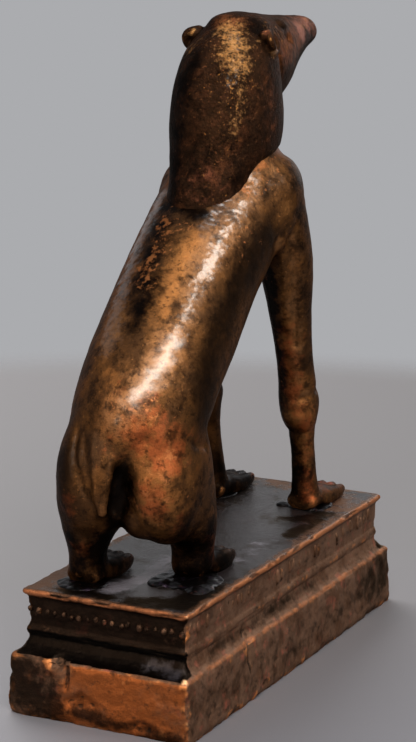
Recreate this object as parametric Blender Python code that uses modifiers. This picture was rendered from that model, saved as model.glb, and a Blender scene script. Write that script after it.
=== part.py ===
# Ammit figure on a moulded oblong plinth: two castings, the plinth and the animal fixed on it.
# Metres, +Z up. The animal faces -Y and its left side is +X. The origin is at the middle of the underside.
import math

import bmesh
import bpy
from mathutils import Matrix, Vector

MM = 0.001

# Plinth: lower block, then the moulded upper part under a flat top.
BLOCK_WIDTH = 36.0
BLOCK_LENGTH = 92.0
BLOCK_TOP_WIDTH = 34.6
BLOCK_TOP_LENGTH = 92.4
BLOCK_HEIGHT = 11.1
BLOCK_EDGE = 0.5
TOP_WIDTH = 32.5
TOP_LENGTH = 87.7
PLINTH_HEIGHT = 22.4
CORNER_RADIUS = 0.5
CORNER_STEPS = 2

# Bead row between the lip and the band: upright beads, longer ones on the long sides.
BEAD_PITCH = 1.74
BEAD_RADIUS = 0.58
BEAD_INSET = 0.6
BEAD_SIDES = 4
BEAD_LEVELS = 3
END_BEAD_MIDDLE = 18.6
END_BEAD_HALF_HEIGHT = 0.85
SIDE_BEAD_MIDDLE = 18.9
SIDE_BEAD_HALF_HEIGHT = 1.7

# Figure: fine enough for toes and ears, then thinned to the count of faces that the solid keeps.
SIDE_SHIFT = 1.8
FIGURE_TURN = 2.4
VOXEL = 0.5
BODY_PASSES = 16
MANE_PASSES = 12
SMOOTH_PASSES = 5
THINNING = 0.0335
SOLE_GAP = 0.3

# Mouldings of the upper part from the lip down: how far each level stands in from the lip, and its height.
MOULDINGS = (
    (0.35, 22.4),
    (0.0, 22.0),
    (0.0, 21.6),
    (0.75, 20.9),
    (0.8, 17.7),
    (0.95, 17.2),
    (1.0, 15.9),
    (0.6, 15.2),
    (0.6, 14.3),
    (0.9, 13.9),
)


def clear_scene():
    for item in list(bpy.data.objects):
        bpy.data.objects.remove(item)


def new_collection(name):
    collection = bpy.data.collections.new(name)
    bpy.context.scene.collection.children.link(collection)
    return collection


def new_material(name, colour, roughness, metallic):
    material = bpy.data.materials.new(name)
    material.use_nodes = True
    shader = material.node_tree.nodes["Principled BSDF"]
    shader.inputs["Base Color"].default_value = (*colour, 1.0)
    shader.inputs["Roughness"].default_value = roughness
    shader.inputs["Metallic"].default_value = metallic
    return material


def mesh_object(bm, name, collection):
    bmesh.ops.recalc_face_normals(bm, faces=bm.faces)
    mesh = bpy.data.meshes.new(name)
    bm.to_mesh(mesh)
    bm.free()
    made = bpy.data.objects.new(name, mesh)
    collection.objects.link(made)
    return made


def as_cutter(made):
    made.hide_render = True
    made.display_type = "WIRE"


def add_boolean(made, name, operation, other):
    boolean = made.modifiers.new(name, "BOOLEAN")
    boolean.operation = operation
    boolean.object = other
    boolean.solver = "EXACT"


# ---- Soft forms ----------------------------------------------------------------------------------------
# A section is (x, y, z, half width along X, half depth, tilt). Tilt 0 lies flat, tilt 90 faces forward (-Y).


def between(a, b, c, d, t):
    # Catmull-Rom blend of four neighbouring values, from b at t = 0 to c at t = 1.
    return 0.5 * (
        2 * b + (c - a) * t + (2 * a - 5 * b + 4 * c - d) * t * t + (3 * b - a - 3 * c + d) * t**3
    )


def smooth_sections(sections, steps):
    padded = [sections[0], *sections, sections[-1]]
    path = []
    for i in range(len(sections) - 1):
        for j in range(steps):
            four = padded[i : i + 4]
            path.append(tuple(between(*values, j / steps) for values in zip(*four)))
    path.append(tuple(sections[-1]))
    return path


def section_axes(tilt):
    angle = math.radians(tilt)
    deep = Vector((0.0, math.cos(angle), math.sin(angle)))
    normal = Vector((0.0, -math.sin(angle), math.cos(angle)))
    return deep, normal


def add_ring(bm, centre, deep, half_width, half_depth, sides):
    ring = []
    for k in range(sides):
        turn = 2 * math.pi * k / sides
        point = centre + Vector((half_width * math.cos(turn), 0, 0)) + deep * half_depth * math.sin(turn)
        ring.append(bm.verts.new(point * MM))
    return ring


def add_loft(bm, sections, roundness, sides=24, steps=4, cap_rings=3):
    # A closed form through elliptic sections, with domed ends that stand out by the two roundness values.
    path = smooth_sections(sections, steps)
    rings = []
    for x, y, z, half_width, half_depth, tilt in path:
        deep, normal = section_axes(tilt)
        rings.append(add_ring(bm, Vector((x, y, z)), deep, half_width, half_depth, sides))
    ends = ((path[0], path[1], roundness[0]), (path[-1], path[-2], roundness[1]))
    for end, (section, neighbour, height) in enumerate(ends):
        middle = Vector(section[:3])
        half_width, half_depth, tilt = section[3:]
        deep, normal = section_axes(tilt)
        outward = middle - Vector(neighbour[:3])
        away = normal if normal.dot(outward) > 0 else -normal
        for j in range(1, cap_rings + 1):
            rise = math.radians(90 * j / (cap_rings + 1))
            centre = middle + away * height * math.sin(rise)
            shrink = math.cos(rise)
            ring = add_ring(bm, centre, deep, half_width * shrink, half_depth * shrink, sides)
            rings.insert(0 if end == 0 else len(rings), ring)
        pole = bm.verts.new((middle + away * height) * MM)
        outer = rings[0] if end == 0 else rings[-1]
        for k in range(sides):
            bm.faces.new((outer[k], outer[(k + 1) % sides], pole))
    for lower, upper in zip(rings[:-1], rings[1:]):
        for k in range(sides):
            m = (k + 1) % sides
            bm.faces.new((lower[k], lower[m], upper[m], upper[k]))


def placing(centre, size, turn):
    # Scales by the three sizes, turns about X, Y and Z in degrees, then moves to the centre.
    spin = Matrix.Identity(4)
    for axis, degrees in zip("XYZ", turn):
        spin = Matrix.Rotation(math.radians(degrees), 4, axis) @ spin
    return Matrix.Translation(Vector(centre) * MM) @ spin @ Matrix.Diagonal((*(Vector(size) * MM), 1.0))


def add_egg(bm, centre, radii, turn=(0.0, 0.0, 0.0), around=20, up=12):
    place = placing(centre, radii, turn)
    bmesh.ops.create_uvsphere(bm, u_segments=around, v_segments=up, radius=1.0, matrix=place)


def add_block(bm, centre, size, turn=(0.0, 0.0, 0.0)):
    bmesh.ops.create_cube(bm, size=1.0, matrix=placing(centre, size, turn))


# ---- Figure --------------------------------------------------------------------------------------------


def add_torso(bm):
    add_loft(
        bm,
        (
            (0, 31.5, 41.5, 7.0, 6.0, 0),
            (0, 31.6, 45.5, 10.8, 9.2, 8),
            (0, 30.2, 51.2, 12.0, 11.3, 24),
            (0, 24.6, 58.4, 12.0, 12.2, 40),
            (0, 16.2, 65.8, 12.0, 12.6, 45),
            (0, 7.6, 73.4, 11.9, 12.3, 46),
            (0, -1.0, 80.0, 12.2, 11.7, 42),
            (0, -7.8, 86.4, 11.7, 11.3, 26),
            (0, -9.0, 93.0, 9.0, 11.0, 6),
        ),
        roundness=(4.0, 6.0),
    )


def add_mane(bm):
    # One heavy hood round the neck, and the lappet that it drops down the back.
    add_loft(
        bm,
        (
            (0, -7.4, 94.0, 9.2, 13.2, -9),
            (0, -7.0, 98.0, 9.6, 14.6, -7),
            (0, -7.0, 102.5, 9.4, 14.6, -4),
            (0, -7.4, 107.5, 9.0, 12.8, 0),
            (0, -9.6, 112.5, 8.1, 10.4, 4),
            (0, -12.4, 116.3, 5.8, 7.2, 6),
        ),
        roundness=(0.8, 2.8),
        sides=32,
    )
    add_loft(
        bm,
        (
            (0, 0.2, 85.4, 6.2, 10.8, -12),
            (0, -2.0, 90.0, 7.5, 12.4, -10),
            (0, -5.0, 95.0, 8.8, 13.4, -7),
            (0, -6.6, 100.0, 9.2, 13.8, -4),
        ),
        roundness=(0.8, 3.0),
        sides=32,
    )


def add_head(bm):
    add_loft(
        bm,
        (
            (0, -10.0, 110.5, 8.0, 8.2, 90),
            (0, -17.0, 109.6, 7.7, 9.0, 90),
            (0, -24.0, 109.9, 6.5, 8.0, 88),
            (0, -31.0, 111.6, 5.0, 5.8, 86),
            (0, -38.0, 113.0, 3.9, 3.9, 84),
            (0, -42.6, 113.5, 3.5, 3.0, 84),
        ),
        roundness=(2.0, 2.3),
    )
    for side in (-1, 1):
        add_egg(bm, (side * 3.9, -21.5, 116.4), (1.6, 2.4, 1.5))
        add_ear(bm, side)


def add_ear(bm, side):
    # A small cup: a rim of beads round a hollow that opens outward and a little upward.
    middle = Vector((side * 7.3, -8.4, 114.2))
    forward = Vector((0, -1, 0))
    upward = Vector((-side * 0.45, 0, 0.89))
    rim_steps = 14
    for k in range(rim_steps):
        turn = 2 * math.pi * k / rim_steps
        point = middle + forward * 2.0 * math.cos(turn) + upward * 2.2 * math.sin(turn)
        add_egg(bm, point, (0.85, 0.85, 0.85), around=8, up=6)


def add_foreleg(bm, side, wrist_x, foot_x):
    # From inside the shoulder down a thin leg to a knobbed wrist, then the paw.
    add_loft(
        bm,
        (
            (side * 7.9, -10.4, 85.5, 5.7, 9.2, 22),
            (side * 8.8, -12.0, 79.0, 5.4, 8.4, 16),
            (wrist_x, -13.8, 72.0, 5.0, 6.2, 12),
            (wrist_x, -16.3, 63.5, 4.1, 4.6, 10),
            (wrist_x, -18.7, 56.0, 3.6, 3.9, 10),
            (wrist_x, -21.0, 49.0, 3.6, 3.8, 8),
            (wrist_x, -22.2, 45.0, 3.9, 4.2, 4),
            (wrist_x, -22.6, 41.5, 3.4, 3.8, 4),
            ((wrist_x + foot_x) / 2, -24.3, 37.0, 2.4, 2.7, 8),
            (foot_x, -25.9, 30.0, 2.4, 2.6, 8),
            (foot_x, -26.9, 25.0, 2.8, 3.2, 4),
        ),
        roundness=(4.0, 2.4),
    )
    add_egg(bm, (wrist_x, -20.6, 42.8), (2.9, 2.3, 3.0))
    add_paw(bm, foot_x, -27.0, length=14.5, half_width=4.2, height=3.8)


def add_paw(bm, x, y, length, half_width, height):
    # A pad from the heel forward, then four toes side by side with a cleft between each two.
    floor = PLINTH_HEIGHT
    toe_reach = length * 0.42
    add_loft(
        bm,
        (
            (x, y + 2.0, floor + 1.6, half_width * 0.75, 2.0, 90),
            (x, y - 3.0, floor + 1.9, half_width * 0.85, height * 0.55, 90),
            (x, y - length + toe_reach + 1.5, floor + 1.5, half_width * 0.98, height * 0.46, 90),
        ),
        roundness=(1.0, 2.0),
    )
    pitch = half_width * 0.5
    for toe in range(4):
        across = (toe - 1.5) * pitch
        setback = abs(toe - 1.5) * 0.7
        centre = (x + across, y - length + toe_reach + setback, floor + height * 0.3)
        add_egg(bm, centre, (pitch * 0.56, toe_reach, height * 0.45))


def add_hind_leg(bm, side, foot_x, foot_y, thigh_y, ankle):
    # The hips are level. The feet are not: one is set forward and the other back.
    hip_y = 30.5
    haunch_y = (hip_y + thigh_y) / 2
    add_egg(bm, (side * 6.1, haunch_y + 0.8, 42.4), (6.7, 10.2, 12.6), (8, 0, 0))
    add_loft(
        bm,
        (
            (side * 6.0, hip_y - 1.0, 53.0, 5.4, 8.0, 14),
            (side * 6.2, haunch_y, 46.0, 6.2, 8.6, 8),
            (side * 6.4, thigh_y, 39.0, 6.3, 8.2, 0),
            ((side * 6.8 + foot_x) / 2, (thigh_y + foot_y) / 2, 32.5, ankle + 1.5, 5.8, 0),
            (foot_x, foot_y, 28.0, ankle, 4.1, 0),
            (foot_x, foot_y, 24.5, ankle, 4.1, 0),
        ),
        roundness=(4.0, 2.0),
    )


def add_tail(bm):
    # A short stump that lies against the left haunch and ends in a small knob.
    add_loft(
        bm,
        (
            (3.8, 36.3, 53.5, 3.2, 3.0, 30),
            (3.1, 39.7, 48.8, 2.8, 2.2, 16),
            (2.4, 41.6, 44.2, 2.2, 1.6, 4),
            (1.9, 42.0, 40.2, 1.5, 1.3, 0),
            (1.7, 41.7, 38.2, 1.0, 1.1, 0),
        ),
        roundness=(1.0, 1.0),
        sides=16,
    )
    add_egg(bm, (1.6, 41.7, 37.4), (1.1, 1.1, 1.1))


def sole_cutter(collection):
    # Everything below the sole line is taken off, which leaves a small gap over the plinth.
    bm = bmesh.new()
    depth = 12.0
    top = PLINTH_HEIGHT + SOLE_GAP
    add_block(bm, (0, 0, top - depth / 2), (80, 140, depth))
    cutter = mesh_object(bm, "sole_cutter", collection)
    as_cutter(cutter)
    return cutter


def add_body(bm):
    # Trunk, shoulders and hind legs, with the web of skin between the thighs.
    add_torso(bm)
    for side in (-1, 1):
        add_egg(bm, (side * 8.2, -8.6, 84.2), (5.7, 10.8, 7.4), (-44, 0, 0))
    add_hind_leg(bm, -1, foot_x=-7.5, foot_y=23.2, thigh_y=27.6, ankle=3.9)
    add_hind_leg(bm, 1, foot_x=7.6, foot_y=34.3, thigh_y=34.2, ankle=3.3)
    add_egg(bm, (0.0, 29.5, 37.0), (4.2, 6.5, 5.2))


def softened(name, collection, passes, add_forms):
    # Overlapping forms made one skin, with the joins between them rounded off.
    bm = bmesh.new()
    add_forms(bm)
    made = mesh_object(bm, name, collection)
    as_cutter(made)
    add_skin(made, passes)
    return made


def add_skin(made, passes):
    remesh = made.modifiers.new("One skin", "REMESH")
    remesh.mode = "VOXEL"
    remesh.voxel_size = VOXEL * MM
    smooth = made.modifiers.new("Soft joins", "SMOOTH")
    smooth.iterations = passes


def make_figure(collection, cutters):
    soft_forms = (
        softened("soft_body", cutters, BODY_PASSES, add_body),
        softened("soft_mane", cutters, MANE_PASSES, add_mane),
    )
    evaluated = bpy.context.evaluated_depsgraph_get()
    bm = bmesh.new()
    for form in soft_forms:
        bm.from_object(form, evaluated)
    add_head(bm)
    add_foreleg(bm, -1, wrist_x=-9.5, foot_x=-9.5)
    add_foreleg(bm, 1, wrist_x=10.6, foot_x=10.0)
    add_paw(bm, -7.5, 23.2, length=13.0, half_width=4.2, height=4.4)
    add_paw(bm, 7.6, 34.3, length=13.0, half_width=4.2, height=4.4)
    add_tail(bm)
    place = Matrix.Translation((SIDE_SHIFT * MM, 0, 0)) @ Matrix.Rotation(math.radians(FIGURE_TURN), 4, "Z")
    bmesh.ops.transform(bm, matrix=place, verts=bm.verts)
    figure = mesh_object(bm, "figure", collection)
    add_skin(figure, SMOOTH_PASSES)
    thin = figure.modifiers.new("Fewer faces", "DECIMATE")
    thin.ratio = THINNING
    add_boolean(figure, "Flat soles", "DIFFERENCE", sole_cutter(cutters))
    figure.data.materials.append(new_material("figure_bronze", (0.22, 0.10, 0.045), 0.38, 1.0))
    return figure


# ---- Plinth --------------------------------------------------------------------------------------------


def corner_ring(bm, half_width, half_length, height):
    # One level of the plinth: an oblong with rounded corners.
    quarters = ((1, -1, -90), (1, 1, 0), (-1, 1, 90), (-1, -1, 180))
    ring = []
    for across, along, start in quarters:
        middle_x = across * (half_width - CORNER_RADIUS)
        middle_y = along * (half_length - CORNER_RADIUS)
        for step in range(CORNER_STEPS + 1):
            angle = math.radians(start + 90 * step / CORNER_STEPS)
            x = middle_x + CORNER_RADIUS * math.cos(angle)
            y = middle_y + CORNER_RADIUS * math.sin(angle)
            ring.append(bm.verts.new(Vector((x, y, height)) * MM))
    return ring


def plinth_body(collection):
    bm = bmesh.new()
    levels = [
        (BLOCK_WIDTH / 2 - BLOCK_EDGE, BLOCK_LENGTH / 2 - BLOCK_EDGE, 0.0),
        (BLOCK_WIDTH / 2, BLOCK_LENGTH / 2, BLOCK_EDGE),
        (BLOCK_TOP_WIDTH / 2, BLOCK_TOP_LENGTH / 2, BLOCK_HEIGHT - BLOCK_EDGE),
        (BLOCK_TOP_WIDTH / 2 - BLOCK_EDGE, BLOCK_TOP_LENGTH / 2 - BLOCK_EDGE, BLOCK_HEIGHT),
    ]
    for inset, height in reversed(MOULDINGS):
        levels.append((TOP_WIDTH / 2 - inset, TOP_LENGTH / 2 - inset, height))
    rings = [corner_ring(bm, *level) for level in levels]
    for lower, upper in zip(rings[:-1], rings[1:]):
        for k in range(len(lower)):
            m = (k + 1) % len(lower)
            bm.faces.new((lower[k], lower[m], upper[m], upper[k]))
    bm.faces.new(reversed(rings[0]))
    bm.faces.new(rings[-1])
    return mesh_object(bm, "plinth", collection)


def bead_rows(collection):
    bm = bmesh.new()
    side_x = TOP_WIDTH / 2 - BEAD_INSET
    end_y = TOP_LENGTH / 2 - BEAD_INSET
    side_radii = (BEAD_RADIUS, BEAD_RADIUS, SIDE_BEAD_HALF_HEIGHT)
    end_radii = (BEAD_RADIUS, BEAD_RADIUS, END_BEAD_HALF_HEIGHT)
    along_side = round(2 * end_y / BEAD_PITCH)
    end_reach = side_x - BEAD_RADIUS / 2
    along_end = round(2 * end_reach / BEAD_PITCH)
    for half in (-1, 1):
        for k in range(1, along_side):
            y = end_y * (2 * k / along_side - 1)
            add_egg(bm, (half * side_x, y, SIDE_BEAD_MIDDLE), side_radii, around=BEAD_SIDES, up=BEAD_LEVELS)
        for k in range(along_end + 1):
            x = end_reach * (2 * k / along_end - 1)
            add_egg(bm, (x, half * end_y, END_BEAD_MIDDLE), end_radii, around=BEAD_SIDES, up=BEAD_LEVELS)
    beads = mesh_object(bm, "bead_rows", collection)
    as_cutter(beads)
    return beads


def chip_cutters(collection):
    # A notch and a slit in the rear face, and a notch and a crack in the right side.
    rear = BLOCK_TOP_LENGTH / 2
    right = -BLOCK_TOP_WIDTH / 2
    chips = {
        "rear_notch": ((7.7, rear + 0.2, 10.6), (2.3, 3.0, 2.6), (20, 38, 0)),
        "rear_slit": ((5.7, rear + 0.2, 8.9), (0.7, 2.4, 5.8), (0, 13, 0)),
        "side_notch": ((right + 0.2, 20.2, 12.6), (2.8, 3.4, 2.2), (32, 0, 10)),
        "side_crack": ((right - 0.2, 20.8, 8.6), (1.6, 0.6, 6.4), (36, 0, 0)),
    }
    cutters = []
    for name, block in chips.items():
        bm = bmesh.new()
        add_block(bm, *block)
        cutters.append(mesh_object(bm, name, collection))
        as_cutter(cutters[-1])
    return cutters


def make_plinth(collection, cutters):
    plinth = plinth_body(collection)
    add_boolean(plinth, "Bead rows", "UNION", bead_rows(cutters))
    for chip in chip_cutters(cutters):
        add_boolean(plinth, chip.name, "DIFFERENCE", chip)
    plinth.data.materials.append(new_material("plinth_bronze", (0.12, 0.06, 0.035), 0.42, 1.0))
    return plinth


clear_scene()
model = new_collection("ammit_statue")
cutting = new_collection("cutters")
make_plinth(model, cutting)
make_figure(model, cutting)
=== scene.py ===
# Ammit statuette: a patinated bronze casting on its moulded plinth, set out under soft studio light.
import math

import bmesh
import bpy
import numpy as np
from mathutils import Matrix, Vector, noise


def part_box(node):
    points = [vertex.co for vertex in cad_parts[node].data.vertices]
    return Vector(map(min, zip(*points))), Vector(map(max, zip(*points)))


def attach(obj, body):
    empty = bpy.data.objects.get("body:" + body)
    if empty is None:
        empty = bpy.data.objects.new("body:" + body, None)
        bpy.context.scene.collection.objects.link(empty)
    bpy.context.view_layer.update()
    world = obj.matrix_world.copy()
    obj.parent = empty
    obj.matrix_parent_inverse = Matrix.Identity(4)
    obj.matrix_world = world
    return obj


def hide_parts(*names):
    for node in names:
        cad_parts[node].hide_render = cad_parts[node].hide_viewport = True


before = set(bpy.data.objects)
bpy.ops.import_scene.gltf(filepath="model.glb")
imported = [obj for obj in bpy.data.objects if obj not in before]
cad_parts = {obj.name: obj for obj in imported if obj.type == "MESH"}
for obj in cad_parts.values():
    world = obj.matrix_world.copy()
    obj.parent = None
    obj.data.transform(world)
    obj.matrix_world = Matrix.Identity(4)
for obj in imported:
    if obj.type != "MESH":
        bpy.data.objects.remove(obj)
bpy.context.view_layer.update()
mm = 0.001
scene = bpy.context.scene
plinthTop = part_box("plinth")[1].z / mm
print("frame loaded, plinth top at", round(plinthTop, 1), "mm")

# lengths below are in millimetres, turned to metres where vertices are made


def catmull(a, b, c, d, t):
    # a smooth curve from b to c, led in by a and out by d
    return 0.5 * (2 * b + (c - a) * t + (2 * a - 5 * b + 4 * c - d) * t * t + (3 * b - a - 3 * c + d) * t**3)


def smoothPath(stations, steps):
    padded = [stations[0], *stations, stations[-1]]
    path = []
    for i in range(len(stations) - 1):
        for j in range(steps):
            path.append(tuple(catmull(*values, j / steps) for values in zip(*padded[i : i + 4])))
    path.append(tuple(stations[-1]))
    return path


def tilted(degrees):
    # a ring's depth direction and the way it faces
    angle = math.radians(degrees)
    return Vector((0, math.cos(angle), math.sin(angle))), Vector((0, -math.sin(angle), math.cos(angle)))


def addRing(bm, centre, deep, halfWidth, halfDepth, sides):
    ring = []
    for k in range(sides):
        turn = 2 * math.pi * k / sides
        point = centre + Vector((halfWidth * math.cos(turn), 0, 0)) + deep * halfDepth * math.sin(turn)
        ring.append(bm.verts.new(point * mm))
    return ring


def bridge(bm, rings):
    for lower, upper in zip(rings[:-1], rings[1:]):
        for k in range(len(lower)):
            m = (k + 1) % len(lower)
            bm.faces.new((lower[k], lower[m], upper[m], upper[k]))


# a station is x, y, z, half width, half depth and tilt (0 lies flat, 90 faces forward)
def addLoft(bm, stations, domes, sides=40, steps=6, domeRings=5):
    path = smoothPath(stations, steps)
    rings = []
    for x, y, z, halfWidth, halfDepth, tilt in path:
        rings.append(addRing(bm, Vector((x, y, z)), tilted(tilt)[0], halfWidth, halfDepth, sides))
    for end, (station, neighbour) in enumerate(((path[0], path[1]), (path[-1], path[-2]))):
        middle = Vector(station[:3])
        halfWidth, halfDepth, tilt = station[3:]
        deep, away = tilted(tilt)
        if away.dot(middle - Vector(neighbour[:3])) < 0:
            away = -away
        for j in range(1, domeRings + 1):
            rise = math.radians(90 * j / (domeRings + 1))
            centre = middle + away * domes[end] * math.sin(rise)
            ring = addRing(bm, centre, deep, halfWidth * math.cos(rise), halfDepth * math.cos(rise), sides)
            rings.insert(0 if end == 0 else len(rings), ring)
        tip = bm.verts.new((middle + away * domes[end]) * mm)
        outer = rings[0] if end == 0 else rings[-1]
        for k in range(sides):
            bm.faces.new((outer[k], outer[(k + 1) % sides], tip))
    bridge(bm, rings)


def addEgg(bm, centre, radii, turn=(0, 0, 0), around=28, up=18):
    spin = Matrix.Identity(4)
    for axis, degrees in zip("XYZ", turn):
        spin = Matrix.Rotation(math.radians(degrees), 4, axis) @ spin
    place = Matrix.Translation(Vector(centre) * mm) @ spin @ Matrix.Diagonal((*(Vector(radii) * mm), 1))
    poles = [bm.verts.new(place @ Vector((0, 0, z))) for z in (-1, 1)]
    rings = []
    for j in range(1, up):
        rise = math.pi * j / up
        turns = [2 * math.pi * k / around for k in range(around)]
        flat = [Vector((math.cos(a) * math.sin(rise), math.sin(a) * math.sin(rise), -math.cos(rise))) for a in turns]
        rings.append([bm.verts.new(place @ point) for point in flat])
    for k in range(around):
        m = (k + 1) % around
        bm.faces.new((rings[0][m], rings[0][k], poles[0]))
        bm.faces.new((rings[-1][k], rings[-1][m], poles[1]))
    bridge(bm, rings)


def meshPiece(bm, name):
    bmesh.ops.recalc_face_normals(bm, faces=bm.faces)
    mesh = bpy.data.meshes.new(name)
    bm.to_mesh(mesh)
    bm.free()
    piece = bpy.data.objects.new(name, mesh)
    scene.collection.objects.link(piece)
    return piece


def oneSkin(piece, voxel, passes):
    # the solids in a piece become one smooth mesh
    remesh = piece.modifiers.new("skin", "REMESH")
    remesh.mode = "VOXEL"
    remesh.voxel_size = voxel * mm
    soften = piece.modifiers.new("soften", "SMOOTH")
    soften.iterations = passes
    evaluated = piece.evaluated_get(bpy.context.evaluated_depsgraph_get())
    skin = bpy.data.meshes.new_from_object(evaluated)
    piece.modifiers.clear()
    piece.data = skin
    skin.name = piece.name
    return piece


def softened(bm, recipe):
    # one soft skin round what is in bm, opened again for more to be added
    soft = oneSkin(meshPiece(bm, "soft"), recipe["voxel"], recipe["softPasses"])
    bm = bmesh.new()
    bm.from_mesh(soft.data)
    bpy.data.objects.remove(soft)
    return bm


# vertices, normals and edges as arrays; vertices in millimetres
def readRows(items, key, width, kind=float):
    values = np.zeros(len(items) * width, kind)
    items.foreach_get(key, values)
    return values.reshape(-1, width)


def verticesOf(mesh):
    return readRows(mesh.vertices, "co", 3) / mm


def normalsOf(mesh):
    return readRows(mesh.vertex_normals, "vector", 3)


def edgesOf(mesh):
    return readRows(mesh.edges, "vertices", 2, int)


def setVertices(mesh, co):
    mesh.vertices.foreach_set("co", (co * mm).ravel())
    mesh.update()


def blurred(values, pairs, passes):
    # each vertex moves half way to the mean of its neighbours, once for each pass
    count = np.bincount(pairs.ravel(), minlength=len(values))[:, None]
    for _ in range(passes):
        total = np.zeros_like(values)
        for column in range(values.shape[1]):
            total[:, column] += np.bincount(pairs[:, 0], values[pairs[:, 1], column], len(values))
            total[:, column] += np.bincount(pairs[:, 1], values[pairs[:, 0], column], len(values))
        values = 0.5 * values + 0.5 * total / count
    return values


def lumps(co, size, octaves, seed):
    # fractal noise at each vertex, about -1 to 1, with lumps of the given size
    shift = Vector((seed * 17.3, seed * -9.1, seed * 5.7))
    return np.array([noise.fractal(Vector(p) / size + shift, 0.9, 2.0, octaves) for p in co])


def nearLine(co, points, reach):
    # 1 on a line through points, or at a single point, falling away over the reach
    nearest = np.linalg.norm(co - np.array(points[0], float), axis=1)
    for a, b in zip(points[:-1], points[1:]):
        a = np.array(a, float)
        step = np.array(b, float) - a
        t = np.clip((co - a) @ step / (step @ step), 0, 1)
        nearest = np.minimum(nearest, np.linalg.norm(co - a - t[:, None] * step, axis=1))
    return np.exp(-((nearest / reach) ** 2))


def tool(co, normals, marks):
    for width, depth, *line in marks:
        co = co - normals * (depth * nearLine(co, line, width))[:, None]
    return co


def paintMask(mesh, name, values):
    layer = mesh.attributes.get(name) or mesh.attributes.new(name, "FLOAT", "POINT")
    layer.data.foreach_set("value", np.clip(values, 0, 1).astype(np.float32))


def patchMask(co, patches):
    # soft patches, each with a radius, a strength and its line or point
    mask = np.zeros(len(co))
    for radius, strength, *line in patches:
        mask = np.maximum(mask, strength * nearLine(co, line, radius))
    return mask


# the animal's own frame, before it is set down on the plinth
stance = {"aside": 1.8, "turn": 2.4, "soleGap": 0.06}


def standOnPlinth(piece):
    turn = Matrix.Rotation(math.radians(stance["turn"]), 4, "Z")
    piece.data.transform(Matrix.Translation((stance["aside"] * mm, 0, 0)) @ turn)


trunk = {
    "voxel": 0.44,
    "softPasses": 26,
    "finePasses": 6,
    "spine": (
        (0, 31.5, 41.5, 7, 6, 0),
        (0, 31.6, 45.5, 10.8, 9.2, 8),
        (0, 30.2, 51.2, 12, 11.3, 24),
        (0, 24.6, 58.4, 12, 12.2, 40),
        (0, 16.2, 65.8, 12, 12.6, 45),
        (0, 7.6, 73.4, 11.9, 12.3, 46),
        (0, -1, 80, 12.2, 11.7, 42),
        (0, -7.8, 86.4, 11.7, 11.3, 26),
        (0, -9, 93, 9, 11, 6),
    ),
    "shoulder": ((8.2, -8.6, 84.2), (5.7, 10.8, 7.4), (-44, 0, 0)),
    "crotch": (((0.8, 29.5, 38.6), (3.4, 6, 5.2)), ((-2.4, 32, 35.6), (4.2, 6, 4.8))),
    "hipY": 30.5,
    "hindLegs": (
        {"side": -1, "footX": -7.5, "footY": 23.2, "thighY": 27.6, "ankle": 3.9},
        {"side": 1, "footX": 7.6, "footY": 34.3, "thighY": 34.2, "ankle": 3.3},
    ),
    "forelegs": ({"side": -1, "wristX": -9.5, "footX": -9.5}, {"side": 1, "wristX": 10.6, "footX": 10}),
    "tail": (
        (3.4, 36, 53.5, 4.8, 3.2, 30),
        (2.6, 39.3, 48.8, 3.9, 2.4, 16),
        (2, 41.2, 44.2, 2.6, 1.7, 4),
        (1.6, 41.8, 40.2, 1.5, 1.3, 0),
        (1.4, 41.7, 38.2, 0.9, 1.1, 0),
    ),
    "tailKnob": ((1.3, 41.7, 37.6), (0.9, 1, 1)),
    "forePaw": {"length": 14.5, "halfWidth": 4.2, "height": 3.8},
    "hindPaw": {"length": 13, "halfWidth": 4.2, "height": 4.4},
}


def addHindLeg(bm, leg):
    side, footX, footY, thighY = leg["side"], leg["footX"], leg["footY"], leg["thighY"]
    hipY, ankle = trunk["hipY"], leg["ankle"]
    haunchY = (hipY + thighY) / 2
    addEgg(bm, (side * 6.1, haunchY + 0.8, 42.4), (6.7, 10.2, 12.6), (8, 0, 0))
    stations = (
        (side * 6, hipY - 1, 53, 5.4, 8, 14),
        (side * 6.2, haunchY, 46, 6.2, 8.6, 8),
        (side * 6.4, thighY, 39.0, 6.3, 8.2, 0),
        ((side * 6.8 + footX) / 2, (thighY + footY) / 2, 32.5, ankle + 1.5, 5.8, 0),
        (footX, footY, 28, ankle, 4.1, 0),
        (footX, footY, 24.5, ankle, 4.1, 0),
    )
    addLoft(bm, stations, (4, 2))


def addForeleg(bm, leg):
    side, wristX, footX = leg["side"], leg["wristX"], leg["footX"]
    stations = (
        (side * 7.9, -10.4, 85.5, 5.7, 9.2, 22),
        (side * 8.8, -12, 79, 5.4, 8.4, 16),
        (wristX, -13.8, 72, 5, 6.2, 12),
        (wristX, -16.3, 63.5, 4.1, 4.6, 10),
        (wristX, -18.7, 56, 3.6, 3.9, 10),
        (wristX, -21, 49, 3.6, 3.8, 8),
        (wristX, -22.2, 45, 3.9, 4.2, 4),
        (wristX, -22.6, 41.5, 3.4, 3.8, 4),
        ((wristX + footX) / 2, -24.3, 37, 2.4, 2.7, 8),
        (footX, -25.9, 30, 2.4, 2.6, 8),
        (footX, -26.9, 25, 2.8, 3.2, 4),
    )
    addLoft(bm, stations, (4, 2.4))
    addEgg(bm, (wristX, -20.6, 42.8), (2.9, 2.3, 3.0))
    addPaw(bm, footX, -27.0, **trunk["forePaw"])


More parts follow.
